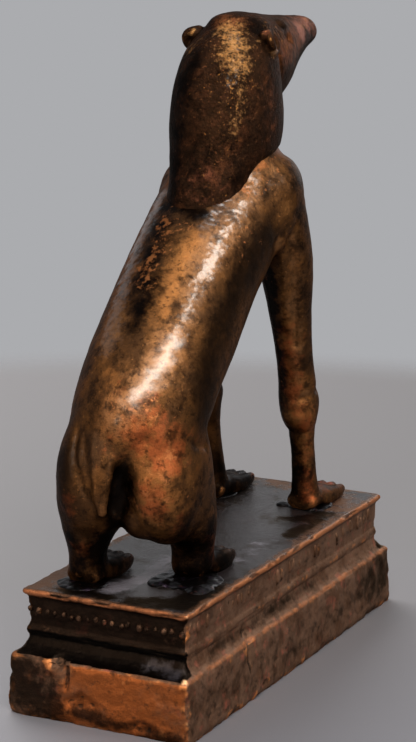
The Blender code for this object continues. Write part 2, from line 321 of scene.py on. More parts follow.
def addPaw(bm, x, y, length, halfWidth, height):
    toeReach = length * 0.42
    stations = (
        (x, y + 2.0, plinthTop + 1.6, halfWidth * 0.75, 2.0, 90),
        (x, y - 3.0, plinthTop + 1.9, halfWidth * 0.85, height * 0.55, 90),
        (x, y - length + toeReach + 1.5, plinthTop + 1.5, halfWidth * 0.98, height * 0.46, 90),
    )
    addLoft(bm, stations, (1, 2))
    pitch = halfWidth * 0.5
    for toe in range(4):
        across = (toe - 1.5) * pitch
        back = abs(toe - 1.5) * 0.7
        tip = (x + across, y - length + toeReach + back, plinthTop + height * 0.3)
        addEgg(bm, tip, (pitch * 0.53, toeReach, height * 0.45))


def makeBody():
    bm = bmesh.new()
    addLoft(bm, trunk["spine"], (4, 6))
    (x, y, z), radii, turn = trunk["shoulder"]
    for side in (-1, 1):
        addEgg(bm, (side * x, y, z), radii, turn)
    for leg in trunk["hindLegs"]:
        addHindLeg(bm, leg)
    for centre, radii in trunk["crotch"]:
        addEgg(bm, centre, radii)
    bm = softened(bm, trunk)
    for leg in trunk["forelegs"]:
        addForeleg(bm, leg)
    for leg in trunk["hindLegs"]:
        addPaw(bm, leg["footX"], leg["footY"], **trunk["hindPaw"])
    addLoft(bm, trunk["tail"], (1, 1))
    addEgg(bm, *trunk["tailKnob"])
    return oneSkin(meshPiece(bm, "bronzeBody"), trunk["voxel"], trunk["finePasses"])


headAndMane = {
    "voxel": 0.3,
    "softPasses": 55,
    "finePasses": 4,
    "hood": (
        (0, -7.4, 94, 9.2, 13.2, -9),
        (0, -7, 98, 9.6, 14.6, -7),
        (0, -7, 102.5, 9.4, 14.6, -4),
        (0, -7.4, 107.5, 9, 12.8, 0),
        (0, -9.6, 112.5, 8.1, 10.4, 4),
        (0, -12.4, 116.3, 5.8, 7.2, 6),
    ),
    "lappet": (
        (0, 0.3, 84.8, 8.1, 10.8, -12),
        (0, -0.4, 87.2, 7.6, 11.5, -11),
        (0, -2, 91, 7.4, 12.5, -10),
        (0, -5, 95, 8.8, 13.4, -7),
        (0, -6.6, 100, 9.2, 13.8, -4),
    ),
    "snout": (
        (0, -10, 110.5, 8, 8.2, 90),
        (0, -17, 109.6, 7.7, 9, 90),
        (0, -24, 109.9, 6.5, 8, 88),
        (0, -31, 111.6, 5, 5.8, 86),
        (0, -38, 113, 3.9, 3.9, 84),
        (0, -42.6, 113.5, 3.5, 3, 84),
    ),
    "brow": ((3.9, -21.5, 116), (1.5, 2.6, 1.3)),
    "earRim": (
        (6.7, -9, 115.9), (7.7, -7.2, 115.6), (8.4, -6.7, 114.7),
        (8.5, -7.4, 113.4), (8.3, -9.2, 112.5), (8, -10.8, 112.7),
        (7.5, -11.6, 113.8), (7, -10.9, 115.2), (6.7, -9, 115.9),
    ),
    "earRoot": ((7, -7.3, 115.3), (1.1, 1.3, 1)),
    "earRimRadius": 0.75,
    "earCup": ((7.3, -9.2, 114.1), (1, 2, 1.7)),
}


def makeHead():
    bm = bmesh.new()
    addLoft(bm, headAndMane["hood"], (0.8, 2.8), 56)
    addLoft(bm, headAndMane["lappet"], (0.3, 3), 56)
    bm = softened(bm, headAndMane)
    addLoft(bm, headAndMane["snout"], (2, 2.3), 48)
    for side in (-1, 1):
        for part in ("brow", "earRoot", "earCup"):
            (x, y, z), radii = headAndMane[part]
            addEgg(bm, (side * x, y, z), radii)
        for x, y, z in smoothPath(headAndMane["earRim"], 4):
            addEgg(bm, (side * x, y, z), (headAndMane["earRimRadius"],) * 3, around=12, up=8)
    return oneSkin(meshPiece(bm, "bronzeHead"), headAndMane["voxel"], headAndMane["finePasses"])


body = makeBody()
head = makeHead()
print("castings skinned:", len(body.data.polygons), "and", len(head.data.polygons), "faces")


# tooled marks in the animal's own frame: width and depth (a ridge's is negative), then a line or a point
bodyMarks = (
    (0.6, 0.7, (7.2, 40.2, 52), (6.4, 42.2, 46.5), (4.4, 43.2, 42), (3.2, 42.8, 38.5)),
    (0.5, 0.35, (5.4, 41, 51), (4.4, 42.9, 46), (3, 43.4, 41.5)),
    (0.5, -0.3, (3.6, 41.4, 51), (2.6, 42.9, 45.5), (2, 43.3, 41)),
    (1.5, 0.9, (-5.2, 39.8, 50), (-2.7, 40.1, 46.6), (-0.3, 38.8, 42.5), (1, 38.2, 37)),
    (0.9, 0.5, (-10.8, 34, 50.5), (-11.8, 32, 48.7), (-12.2, 28.5, 47.8)),
    (0.9, 0.4, (-11.2, 35.3, 46.7), (-11.6, 35, 44)),
    (1.2, 0.5, (-11.1, 25.4, 51.5), (-11.9, 22.6, 46), (-11.4, 20.6, 40)),
    (1.8, 0.4, (-12.9, -5.5, 86), (-12.2, -3.4, 84), (-11.4, -1.4, 82)),
    (1.3, 0.5, (-12.9, -4.3, 81), (-12.4, -2.8, 78)),
    (0.7, 0.5, (-12.8, -7, 79), (-12.9, -9.5, 74), (-12.2, -12, 66), (-11.4, -15, 57)),
    (0.9, -0.35, (-11.4, -6, 78), (-11.2, -8.6, 72), (-10.2, -12, 63)),
    (1.8, 0.4, (12.9, -5.5, 86), (12.2, -3.4, 84), (11.4, -1.4, 82)),
    (0.8, 0.45, (12.8, -7, 79), (12.9, -9.5, 74), (12.4, -12, 66)),
    (0.9, 0.6, (11.8, 35.5, 50), (12.4, 31.5, 47)),
    (0.7, 0.5, (-13.4, -23.5, 47.5), (-11.9, -18.6, 46), (-8.6, -18.6, 46), (-6, -23, 47)),
    (0.8, 0.35, (-12.8, -24.5, 39), (-9.5, -20, 38.6), (-6.4, -24.5, 39)),
    (0.7, 0.5, (14.2, -23.5, 47.5), (10.6, -18.4, 46), (7, -23, 47)),
)

# each of these is on both sides of the head
headMarks = [
    (width, depth, *((side * x, y, z) for x, y, z in line))
    for width, depth, *line in (
        (0.55, 0.85, (-4.5, -42.5, 111.6), (-5.2, -35, 109.8), (-6.6, -27, 107.6), (-7.4, -21.5, 106.6)),
        (0.6, 0.5, (-1.6, -45.6, 114.6)),
        (1, 0.8, (-6, -20.8, 113.8), (-5.8, -23, 113.7)),
        (0.6, -0.7, (-6, -21.9, 113.6)),
        (1.2, 0.9, (-8.2, -9.6, 114.1)),
        (0.8, 0.5, (-7.8, -12.2, 112), (-8.6, -14, 107), (-7.6, -15.5, 102)),
    )
    for side in (1, -1)
]

# how the patina, the painted shade and the painted glints are laid, mask by mask: a patch's radius and strength, then
# the line or the point it follows
bodyPatinaAndShading = {
    "rough": (
        (5.5, 1, (-9, -4, 92), (-6.5, 8, 86)),
        (4, 0.6, (-6.5, 10, 83), (-6.5, 20, 76), (-6.5, 27, 70)),
        (4, 0.5, (-4, 41, 53), (-4, 41, 50)),
        (4, 0.6, (-12, 31, 34), (-11, 28, 27)),
    ),
    "sheen": (
        (2.4, 0.5, (-8, -1, 90.5), (-6.9, 3.4, 88)),
        (3, 0.9, (-6.6, 5, 87), (-6, 10, 84.4), (-6.4, 15, 80), (-6.6, 19, 76.5)),
        (2, 0.56, (-6.6, 19, 76.5), (-6.7, 24, 72.5), (-6.7, 29, 68.5)),
        (3.2, 1, (-6.7, 31.5, 66), (-5.6, 36, 61.5), (-3.8, 39.5, 57)),
        (2.2, 0.45, (-2.6, 40.4, 55.4), (-1, 41, 53.4)),
        (2.6, 0.75, (8, 5, 87), (6.5, 20, 76), (4, 34, 65)),
    ),
    # bright metal where rubbed, partly a painted highlight along the band where the lamps' highlight runs
    "wearAndGlint": (
        (3.6, 0.95, (-8.6, -3.4, 93), (-8, 1, 89), (-7, 9, 84), (-7, 17, 78)),
        (3, 0.75, (-7, 17, 78), (-7, 24, 72), (-6.5, 31, 66)),
        (3.8, 0.9, (-6.5, 31, 66), (-4, 37, 60), (-2, 40, 56), (-0.5, 41, 53.4)),
        (3, 0.6, (-6, -2, 90), (-5, 8, 87)),
        (2.6, 1.15, (-9.4, -4.6, 92.4), (-7.6, 1.4, 89)),
        (3.6, 0.8, (9, -5, 92), (8, 14, 79), (6, 26, 71), (4.5, 34, 65)),
        (2, 0.75, (-12, -8, 79), (-11.6, -12, 68), (-11.4, -16, 57)),
        (1.8, 0.5, (-10.8, -15, 57), (-10.6, -19, 46)),
        (3, 0.5, (-13, -20, 46)),
        # painted glints on the near foreleg's elbow and lower down
        (1.8, 1, (-12.2, -4.3, 78.3)),
        (1.4, 1, (-12, -18.9, 46.9)),
        (3, 0.5, (13, -20, 46)),
    ),
    "flake": (
        (3.4, 1, (2.6, 13, 83), (2.6, 18, 79.5), (1.5, 24, 75)),
        (3.4, 1, (-9, -4, 93), (-7.5, 2, 89.5)),
        (3, 0.8, (-1.5, 15, 82)),
        (6, 0.7, (-4, 40, 56), (-8, 38, 48), (-8, 39, 41)),
        (4, 0.35, (-10.5, 4, 85), (-10.5, 14, 77)),
        (4, 0.6, (-11, -22, 42), (-11, -18, 48)),
    ),
    # dark patina down the back, and painted shade under the hem, in the armpit, between and under the legs, under the
    # belly and on the far paw
    "darkPatinaAndShade": (
        (3.4, 0.8, (4, 9.5, 86), (3.5, 16, 81), (2.2, 21.5, 77), (1, 26, 73.5), (0.3, 31, 69)),
        (2.2, 1, (4, 10.2, 85.4), (-3, 11.2, 85)),
        (4.2, 0.42, (-11, 6, 80), (-11, 16, 73), (-10.5, 24, 67), (-9.5, 32, 60)),
        (3.6, 1, (-0.5, 38.5, 43), (1.5, 37, 35)),
        (5, 1, (5, 36, 33), (4.6, 36.6, 27)),
        (4.5, 0.8, (9, 38, 31), (8, 38, 26)),
        (2.4, 0.5, (-12, 32, 48.5)),
        (4.4, 0.6, (-11, 33, 38), (-10, 34, 33), (-8.6, 28, 25)),
        (4, 0.8, (-4, 34, 33), (-6, 30, 26)),
        (2.9, 1, (-9, -5, 74), (-7.5, -12, 66), (-7.5, -18, 50), (-8, -24, 36), (-8.5, -25, 28)),
        (3.6, 0.55, (-11.5, -9, 91), (-13, -9, 84), (-13.4, -11, 78)),
        (3.2, 1, (-8.5, -24, 31), (-8.5, -25, 25)),
        (5.5, 1, (10, -24, 28), (10, -38, 25)),
        (5, 1, (6.6, -25, 25), (6.2, -31, 24.8), (6, -37, 24.6)),
        (2.2, 0.4, (-0.6, 42.4, 44), (0.4, 42.4, 40)),
        (7, 1, (8, 30, 25), (7, 22, 24)),
        (3, 0.9, (8, 39, 25), (6, 38, 24)),
        (6.5, 1, (-8.6, 26.5, 31), (-8.6, 26.5, 24), (-9, 10, 24)),
        (4, 0.9, (-6.5, 30, 33)),
        (3, 0.4, (2, 43.5, 46)),
        (4.5, 0.5, (12.5, 6, 72), (12, 22, 60)),
        (6, 0.8, (0, -8, 76), (0, 14, 56), (0, 24, 46)),
    ),
    "shade": (
        (5, 0.85, (-12, 2, 80), (-11.6, 17.9, 70), (-11.6, 26, 62.5), (-12, 29, 54)),
        (3.2, 0.6, (7.6, -22, 52), (7.6, -23.6, 36), (7.4, -24.6, 28)),
        (2.6, 0.6, (-13.8, -13, 68), (-14, -16, 54), (-13.8, -19, 44)),
        (4.5, 0.85, (6.5, 42.5, 49), (8.5, 41.5, 42), (8.5, 40, 36)),
        (4, 0.7, (10.5, 41, 46), (11.5, 38, 37)),
    ),
    "copper": (
        (5.5, 1, (-3, 41, 53), (-8, 39, 45), (-8, 38, 39)),
        (3, 1, (-10.5, -10, 76), (-10, -14, 62), (-10, -18, 50)),
        (3, 1, (-11, -19, 45), (-11.5, -23, 34)),
        # a painted highlight on the elbow
        (2.4, 0.8, (-12.2, -4.3, 78.3)),
        (3, 0.9, (10, -16, 50), (11, -13, 66)),
        (3, 1, (-3.5, 16, 81), (-2.8, 22, 76.3), (-2.6, 29, 70.5)),
        (4, 0.8, (2, 38, 60), (-1, 40, 57)),
        (3.4, 1, (-6.8, 40.5, 41), (-7.4, 40, 37)),
        (4.5, 0.6, (3.5, 31, 68), (4, 36, 61)),
        (4, 0.5, (-10.5, 12, 78)),
    ),
    "red": (
        (5.5, 0.9, (-4, 41, 53), (-9, 37, 48)),
        (3.2, 1, (-7, 40.5, 41), (-8, 40, 37)),
        (2.2, 1, (-12.2, 25, 31), (-12.4, 22, 25)),
        (3.5, 0.6, (-9.5, -32, 27), (-9.5, -38, 24.6)),
        (3.5, 0.5, (7.5, 43, 39), (7.5, 38, 30)),
        (4, 0.5, (-9, 36, 36)),
        (3.5, 0.8, (-9, -14, 60), (-10, -19, 46)),
        (2.6, 0.8, (-12, -20, 41), (-11.6, -23, 33), (-11, -24.5, 26)),
        (5, 0.5, (10, 30, 52)),
        (3.5, 0.5, (0, 39.5, 58)),
    ),
}

headPatinaAndShading = {
    "rough": (
        (6, 1, (-2.5, -3.5, 115), (-4, 0.5, 111), (-4.5, 3, 106)),
        (5, 0.75, (-6, 3, 104), (-6.5, 3, 98), (-3, 8, 92), (-3, 10, 86)),
        (4, 0.8, (-6, -14, 116), (-7, -20, 114)),
        (5, 0.5, (0, -40, 115)),
    ),
    "sheen": (
        (2.6, 0.5, (-2.5, -3, 115), (-4, 0.5, 110), (-5, 3, 106)),
        (1, 1, (-8.9, -8.3, 112.3)),
    ),
    # gold where the crown is rubbed, partly a painted highlight, and painted glints on the ear rims
    "wearAndGlint": (
        (4, 0.9, (-1.5, -4.5, 116.2), (-2.8, -2.5, 114), (-4.4, 0.5, 110.5)),
        (2, 0.6, (-6, 1.5, 108), (-6.6, 3, 103), (-5.6, 4.5, 99)),
        (3, 0.5, (-4.5, 2.5, 108), (-4.5, 4, 104)),
        (1.4, 1.15, (-8.9, -8.4, 112.3)),
        (0.8, 0.9, (6.8, -6.4, 115.6), (7.3, -5.7, 114.4)),
        (1.8, 0.6, (-1.6, -42, 115.4), (-3.6, -33, 114.6)),
        (2, 0.5, (-8, -2, 92.5), (-8.4, -6, 95)),
        (0.9, 0.9, (-6.4, -6.2, 114.4)),
        (1, 0.8, (-5.6, -17.2, 116.2)),
        (3, 0.6, (5, -2, 113), (7, 1, 105)),
        (1, 0.8, (8.9, -8.9, 112.3)),
    ),
    "flake": (
        (5.5, 0.8, (-2.5, -3, 115), (-5, 2, 107)),
        (4, 0.4, (-4.5, 5, 104), (-5, 5, 98), (-4, 8, 90)),
        (3.5, 0.9, (-7, -12, 116), (-7, -18, 113)),
        (4, 0.5, (-4, -30, 114)),
    ),
    # darker patina on the hood, and painted shade in the ear hollows and along the mouth and the muzzle's lower side
    "darkPatinaAndShade": (
        (5.5, 0.9, (4, 4, 112), (5, 6, 104), (6, 5, 96), (3, 8, 89)),
        (4.5, 0.6, (0, 7.5, 103), (-1, 8.5, 95), (-2, 10, 88)),
        (5, 1, (8, 1, 110), (8.5, 1, 100), (7, 4, 90)),
        (4, 0.6, (-7, 4, 97), (-7, 4, 88)),
        (4, 0.25, (-8.5, -3, 106), (-9, -3, 98)),
        (2.8, 1, (-4.2, -7.6, 116.8), (-5.4, -9, 116.3)),
        (2.8, 1, (4.2, -7.6, 116.8)),
        (1.3, 1, (-8.8, -9.2, 114)),
        (1.3, 1, (8.8, -9.2, 114)),
        (2, 0.7, (-6.5, -15.5, 114.2)),
        (3, 1, (-3.4, -41.5, 111.4), (-4.6, -34, 110.2), (-5.6, -27, 108.6)),
        (2.6, 1, (-2, -45.4, 112.2)),
    ),
    "copper": (
        (3, 0.6, (-7, -2, 104), (-6, 3, 98), (-3, 8, 91)),
        (5, 1, (-7, -15, 112), (-6, -20, 112), (-5, -30, 113)),
        (3.5, 0.7, (-9, -4, 106), (-9.4, -6, 98)),
        (3, 1, (1.5, -6.5, 118), (-2, -6, 117.6)),
    ),
    "red": (
        (5, 0.35, (-2.5, 8.5, 92), (-4, 8, 88)),
        (3.6, 0.85, (-1.6, -43, 115.4), (-2.8, -37, 115), (-3.6, -32, 114.4)),
        (1.3, 0.9, (-7.3, -7.2, 116)),
    ),
}


def finishCasting(piece, marks, patinaAndShading, grain, seed):
    mesh = piece.data
    pairs = edgesOf(mesh)
    co = tool(verticesOf(mesh), normalsOf(mesh), marks)
    setVertices(mesh, co)
    normals = normalsOf(mesh)
    smooth = blurred(co, pairs, grain["reach"])
    hollow = ((smooth - co) * normals).sum(1) / grain["hollowRange"]
    rise = grain["lumps"] * lumps(co, grain["lumpSize"], 3, seed)
    rough = patchMask(co, patinaAndShading["rough"])
    rise += (grain["pits"] + grain["grains"] * rough) * lumps(co, grain["pitSize"], 2, seed + 1)
    co = co + normals * rise[:, None]
    co[:, 2] = np.maximum(co[:, 2], plinthTop + stance["soleGap"])
    setVertices(mesh, co)
    for name, patches in patinaAndShading.items():
        paintMask(mesh, name, patchMask(co, patches))
    paintMask(mesh, "hollow", hollow)
    paintMask(mesh, "edge", -hollow)
    mesh.shade_smooth()
    standOnPlinth(piece)
    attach(piece, "root")
    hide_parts("figure")


# heights and sizes of the casting's lumps, pits and grains, and how far round a hollow is felt
castGrain = {
    "lumps": 0.06,
    "lumpSize": 3.6,
    "pits": 0.012,
    "grains": 0.1,
    "pitSize": 0.6,
    "reach": 40,
    "hollowRange": 0.7,
}
finishCasting(body, bodyMarks, bodyPatinaAndShading, castGrain, 3)
finishCasting(head, headMarks, headPatinaAndShading, castGrain, 8)
print("castings tooled and stained")


# ring sizes are half width, half length and height; the mouldings stand in from the lip
plinth = {
    "pitch": 0.45,
    "rise": 0.32,
    "corner": 0.8,
    "cornerSteps": 4,
    "block": (
        (17.2, 45.2, 0), (17.8, 45.8, 0.25), (18, 46, 0.8), (17.3, 46.2, 10.4),
        (17.15, 46.05, 10.85), (16.8, 45.6, 11.15), (16.5, 45, 11.3), (16.1, 44.3, 11.75),
        (15.7, 43.6, 12.5), (15.35, 42.95, 13.9),
    ),
    "lip": (16.25, 43.85),
    "mouldings": (
        (0.6, 14.3), (0.52, 14.7), (0.6, 15.2), (1, 15.9), (0.95, 17.2),
        (0.8, 17.7), (0.8, 20.7), (0.6, 21.1), (0.05, 21.5), (0, 21.85),
        (0.12, 22.2), (0.4, 22.4), (1, 22.38),
    ),
    "topRings": 22,
    "innerRing": 0.2,
}


def ringPoints(halfWidth, halfLength):
    # an oblong with round corners, with as many points at any size
    corner = min(plinth["corner"], halfWidth * 0.9)
    across = round(2 * plinth["lip"][0] / plinth["pitch"])
    along = round(2 * plinth["lip"][1] / plinth["pitch"])
    runs = (
        ((1, -1), -90, along, (0, 1)),
        ((1, 1), 0, across, (-1, 0)),
        ((-1, 1), 90, along, (0, -1)),
        ((-1, -1), 180, across, (1, 0)),
    )
    points = []
    for (sideX, sideY), start, count, (stepX, stepY) in runs:
        middleX, middleY = sideX * (halfWidth - corner), sideY * (halfLength - corner)
        for k in range(plinth["cornerSteps"] + 1):
            turn = math.radians(start + 90 * k / plinth["cornerSteps"])
            points.append((middleX + corner * math.cos(turn), middleY + corner * math.sin(turn)))
        x, y = points[-1]
        reachX, reachY = 2 * (halfWidth - corner) * stepX, 2 * (halfLength - corner) * stepY
        points += [(x + reachX * k / count, y + reachY * k / count) for k in range(1, count)]
    return points


def plinthLevels():
    lipX, lipY = plinth["lip"]
    levels = list(plinth["block"]) + [(lipX - inset, lipY - inset, z) for inset, z in plinth["mouldings"]]
    fine = [levels[0]]
    for a, b in zip(levels[:-1], levels[1:]):
        count = max(1, round((Vector(b) - Vector(a)).length / plinth["rise"]))
        fine += [tuple(p + (q - p) * k / count for p, q in zip(a, b)) for k in range(1, count + 1)]
    return fine


def makePlinth():
    bm = bmesh.new()
    levels = plinthLevels()
    halfWidth, halfLength, top = levels[-1]
    for k in range(1, plinth["topRings"]):
        inset = (halfWidth - plinth["innerRing"]) * k / (plinth["topRings"] - 1)
        levels.append((halfWidth - inset, halfLength - inset, top))
    rings = []
    for halfWidth, halfLength, z in levels:
        rings.append([bm.verts.new(Vector((x, y, z)) * mm) for x, y in ringPoints(halfWidth, halfLength)])
    bridge(bm, rings)
    bm.faces.new(list(reversed(rings[0])))
    bm.faces.new(rings[-1])
    return meshPiece(bm, "plinthCasting")


# dents are x, y, z, half sizes and depth; each is pressed in along the surface
plinthDents = (
    ((7.7, 46, 10.6), (1.3, 2, 1.5), 1.5),
    ((5.9, 46.2, 9.2), (0.45, 2, 2.8), 1.3),
    ((3, 46.2, 4.2), (3, 1.5, 1.6), 0.7),
    ((-9, 46.2, 1.6), (2.4, 1.5, 1.3), 0.8),
    ((17.3, 46, 7.4), (0.8, 0.8, 0.7), 0.5),
    ((-17.2, 20.2, 12.6), (1.8, 2.2, 1.6), 1.3),
    ((-17.4, 21.2, 8.2), (1.5, 0.5, 3), 0.8),
    ((-17.6, 15, 1.4), (1.5, 1.2, 0.9), 0.6),
    ((-16, -2, 16.5), (1.2, 3, 1.2), 0.5),
    ((-16.4, -30, 22), (1, 2, 0.8), 0.4),
    ((16.4, 12, 22), (1, 1.4, 0.8), 0.5),
    ((17.2, -18, 11), (1.5, 2.4, 1.2), 0.8),
    ((-5, -46.2, 11), (2, 1.5, 1.3), 0.7),
)


# stains and painted reflections on the plinth's top, written as on the figure but without heights
topStainsAndReflections = {
    "margin": (  # brown round the edges of the top
        (1.4, 0.9, (-16, 44), (16, 44)),
        (1.6, 0.9, (-16, 44), (-16, -44)),
        (2.2, 0.9, (16, 44), (16, -44)),
        (2.4, 0.9, (-16, -44), (16, -44)),
        (6, 0.8, (-14, -30), (-6, -40), (6, -42)),
        (4.5, 1, (15, 30), (14, 41)),
        (2.4, 0.7, (-15, -4), (-15, -30)),
    ),
    "legReflection": (  # painted dark reflection of the legs round the paws
        (2.8, 1, (9, 40), (1, 41.5)),
        (2.2, 0.9, (6, 35), (3, 30)),
        (4.6, 1, (-6, 41), (-13, 38), (-13, 28)),
        (2.6, 0.7, (-6, 32), (-3, 25)),
        (3.4, 0.9, (-8, -18), (-12, -24)),
        (2.6, 0.8, (-12, -8), (-12.5, -20)),
        (4.8, 0.62, (8, -20), (11, -34)),
    ),
    "greyReflection": (  # painted grey reflections on the black
        (3.4, 1, (2, 37), (0, 28), (1, 17)),
        (3, 0.5, (-10, 10), (-9, 0)),
    ),
}
# and those on its sides, with painted glints, reflections and shade
sideStainsAndPaintedLight = {
    "ledgeReflection": (  # a painted bluish-grey reflection on the ledge
        (1.8, 1, (-9, 44.4, 12.9), (-14, 44.6, 12.6)),
    ),
    "wearAndGlint": (  # painted glints, brightest on the corners and at the notch
        (0.9, 1, (-16.1, 43.7, 21.8)),
        (0.9, 1, (-15.7, 43.2, 18.9)),
        (0.8, 0.9, (-15.7, 43.2, 16.2)),
        (1.2, 1, (-16.6, 45.2, 11.3)),
        (0.8, 0.55, (-17.4, 46, 10), (-17.8, 46, 1)),
        (0.5, 1, (9, 46.2, 10.9), (7.4, 46.4, 9)),
    ),
    "blockDarkening": (  # darker patches on the block: painted shade in the crack and the notch, and darker low along its foot, under the mouldings and in blotches
        (5, 0.95, (17, 46, 8), (14, 46, 4), (9, 46, 2)),
        (0.8, 1, (5.9, 46.3, 10.8), (5.7, 46.3, 6.6)),
        (1.2, 1, (6.8, 45.6, 11.4)),
        (1.8, 0.55, (4, 46, 5), (2, 46, 4)),
        (1.9, 0.92, (4, 46, 2.6), (-4, 46, 1.5), (-15, 46, 0.8)),
        (3.2, 0.8, (13, 46, 9.2), (9, 46, 7)),
        (6, 0.8, (-17.6, -34, 6), (-17.6, -44, 7)),
        (4, 0.5, (-17.6, 4, 4), (-17.6, -14, 5)),
        (5, 0.5, (-17.6, 44, 5), (-17.6, -40, 5)),
        (1.6, 0.7, (-16, 34, 13), (-16, 16, 13), (-16, -10, 13)),
        (5, 0.7, (17.6, 30, 4), (17.6, 8, 5)),
        (4, 0.8, (-10, -46, 3), (6, -46, 4)),
    ),
}


# the casting's lumps and pits, its rubbed and chipped arrises, and the heights where the finish changes
plinthWear = {
    "lumpSize": 3.4,
    "lumps": 0.09,
    "blockLumps": 0.12,
    "pitSize": 0.95,
    "pits": 0.05,
    "topCalm": 0.75,
    "sharp": 0.12,
    "rubbed": 0.1,
    "chipSize": 4,
    "chips": 0.45,
    "raggedSize": 1.1,
    "hollowDepth": 0.25,
    "edgeHeight": 0.2,
    "footHeight": 0.35,
    "blockFade": 12,
    "blockTop": 10.9,
    "ledgeTop": 15.6,
    "ledgeFrom": 42,
    "bandLow": 13.2,
    "lipLow": 20.5,
}


def ramp(values, start, width):
    # from 0 at start to 1 a width further on
    return np.clip((values - start) / width, 0, 1)


def wearPlinth(piece):
    mesh, wear = piece.data, plinthWear
    lipX, lipY = plinth["lip"]
    pairs = edgesOf(mesh)
    co = verticesOf(mesh)
    normals = normalsOf(mesh)
    edge = ramp(((co - blurred(co, pairs, 6)) * normals).sum(1), 0, wear["sharp"])
    onTop = ramp(co[:, 2] - plinthTop, -0.5, 0.4) * (np.abs(normals[:, 2]) > 0.9)
    onBlock = ramp(co[:, 2], wear["blockFade"], -1.5)
    rise = lumps(co, wear["lumpSize"], 3, 21) * (wear["lumps"] + wear["blockLumps"] * onBlock)
    rise *= 1 - wear["topCalm"] * onTop
    rise += lumps(co, wear["pitSize"], 2, 22) * wear["pits"] * (1 - 0.8 * onTop)
    chipped = np.clip(lumps(co, wear["chipSize"], 3, 23) * 2.2 + 0.1, 0, 1)
    rise -= edge * (wear["rubbed"] + wear["chips"] * chipped)
    ragged = 0.8 + 0.5 * lumps(co, wear["raggedSize"], 2, 24)
    for middle, size, depth in plinthDents:
        away = np.linalg.norm((co - np.array(middle)) / np.array(size), axis=1)
        rise -= depth * np.clip(1.6 - 1.3 * away, 0, 1) * ragged
    co = co + normals * rise[:, None]
    # the underside stays flat, with its edge just rounded
    co[:, 2] = np.where(co[:, 2] < wear["footHeight"], np.maximum(co[:, 2], 0) * 0.2, co[:, 2])
    setVertices(mesh, co)
    normals = normalsOf(mesh)
    hollow = ((blurred(co, pairs, 14) - co) * normals).sum(1)
    x, y, z = np.abs(co[:, 0]), np.abs(co[:, 1]), co[:, 2]
    inset = np.minimum(lipX - x, lipY - y)
    ledge = ramp(z, wear["blockTop"], 0.3) * ramp(z, wear["ledgeTop"], -1)
    ledge *= ramp(y, wear["ledgeFrom"], 0.5) * ramp(x, 17, -1)
    shoulder = ramp(np.abs(z - wear["blockTop"]), 0.7, -0.5) * (x > 16)
    masks = {name: patchMask(co, patches) for name, patches in sideStainsAndPaintedLight.items()}
    for name, patches in topStainsAndReflections.items():
        raised = [(radius, strength, *((x, y, plinthTop) for x, y in line)) for radius, strength, *line in patches]
        masks[name] = onTop * patchMask(co, raised)
    masks["gloss"] = onTop
    masks["hollow"] = hollow / wear["hollowDepth"]
    masks["edge"] = -hollow / wear["edgeHeight"] * np.clip(0.75 + lumps(co, 2.5, 2, 25), 0.15, 1)
    masks["lip"] = ramp(z, wear["lipLow"], 0.3) * ramp(inset, 0.8, -0.5) + 0.75 * shoulder
    masks["ledge"] = ledge * np.clip((12 - co[:, 0]) / 8, 0.8, 1)
    # copper on the block's end faces, partly the casting's colour and partly painted light on these faces
    masks["endFaceCopperAndLight"] = np.clip(np.abs(normals[:, 1]) * 1.4 - 0.3, 0, 1) * onBlock
    masks["endFaceCopperAndLight"] *= np.clip((13 - co[:, 0]) / 7 + (co[:, 1] < 0), 0.5, 1)
    masks["endBand"] = ramp(z, wear["bandLow"], 0.8) * (1 - onTop) * (y > lipY - 1.3)
    for name, values in masks.items():
        paintMask(mesh, name, values)
    mesh.shade_smooth()


casting = makePlinth()
wearPlinth(casting)
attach(casting, "root")
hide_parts("plinth")
print("plinth cast and worn:", len(casting.data.polygons), "faces")

# beads all round: round on the ends, drawn down and more worn along the sides; a worn one sits further in
beading = {
    "pitch": 1.74,
    "radius": 0.6,
    "inset": 0.6,
    "spread": 0.3,
    "sunk": 0.2,
    "endMiddle": 18.6,
    "endWear": (0.7, 1.2),
    "endHeight": 0.66,
    "endSet": 0.15,
    "endClear": 1.1,
    "sideMiddle": 18.9,
    "sideWear": (0.3, 0.95),
    "sideHeight": 1.55,
    "sideLean": 14,
    "sideSet": 0.35,
    "lumps": 0.12,
    "lumpSize": 0.8,
}


def makeBeads():
    rng = np.random.default_rng(11)
    bm = bmesh.new()
    sideX, endY = plinth["lip"][0] - beading["inset"], plinth["lip"][1] - beading["inset"]
    radius = beading["radius"]
    alongSide = round(2 * endY / beading["pitch"])
    alongEnd = round(2 * (sideX - radius / 2) / beading["pitch"])
    for half in (-1, 1):
        for k in range(1, alongSide):
            wear = rng.uniform(*beading["sideWear"])
            shift = rng.normal(0, beading["spread"], 2)
            x = half * (sideX - beading["sideSet"] - beading["sunk"] * (1 - wear))
            y = endY * (2 * k / alongSide - 1) + shift[0] * 0.6
            radii = (radius * wear, radius * 1.05, beading["sideHeight"] * wear)
            lean = rng.uniform(-beading["sideLean"], beading["sideLean"])
            addEgg(bm, (x, y, beading["sideMiddle"] + shift[1]), radii, (lean, 0, 0), 10, 8)
        for k in range(alongEnd + 1):
            wear = rng.uniform(*beading["endWear"])
            shift = rng.normal(0, beading["spread"], 2) * 0.5
            x = (sideX - beading["endClear"]) * (2 * k / alongEnd - 1) + shift[0]
            y = half * (endY - beading["endSet"] - beading["sunk"] * (beading["endWear"][1] - wear))
            radii = (radius * wear * 0.85, radius * wear, beading["endHeight"] * wear)
            addEgg(bm, (x, y, beading["endMiddle"] + shift[1]), radii, (0, 0, 0), 12, 8)
    return meshPiece(bm, "plinthBeads")


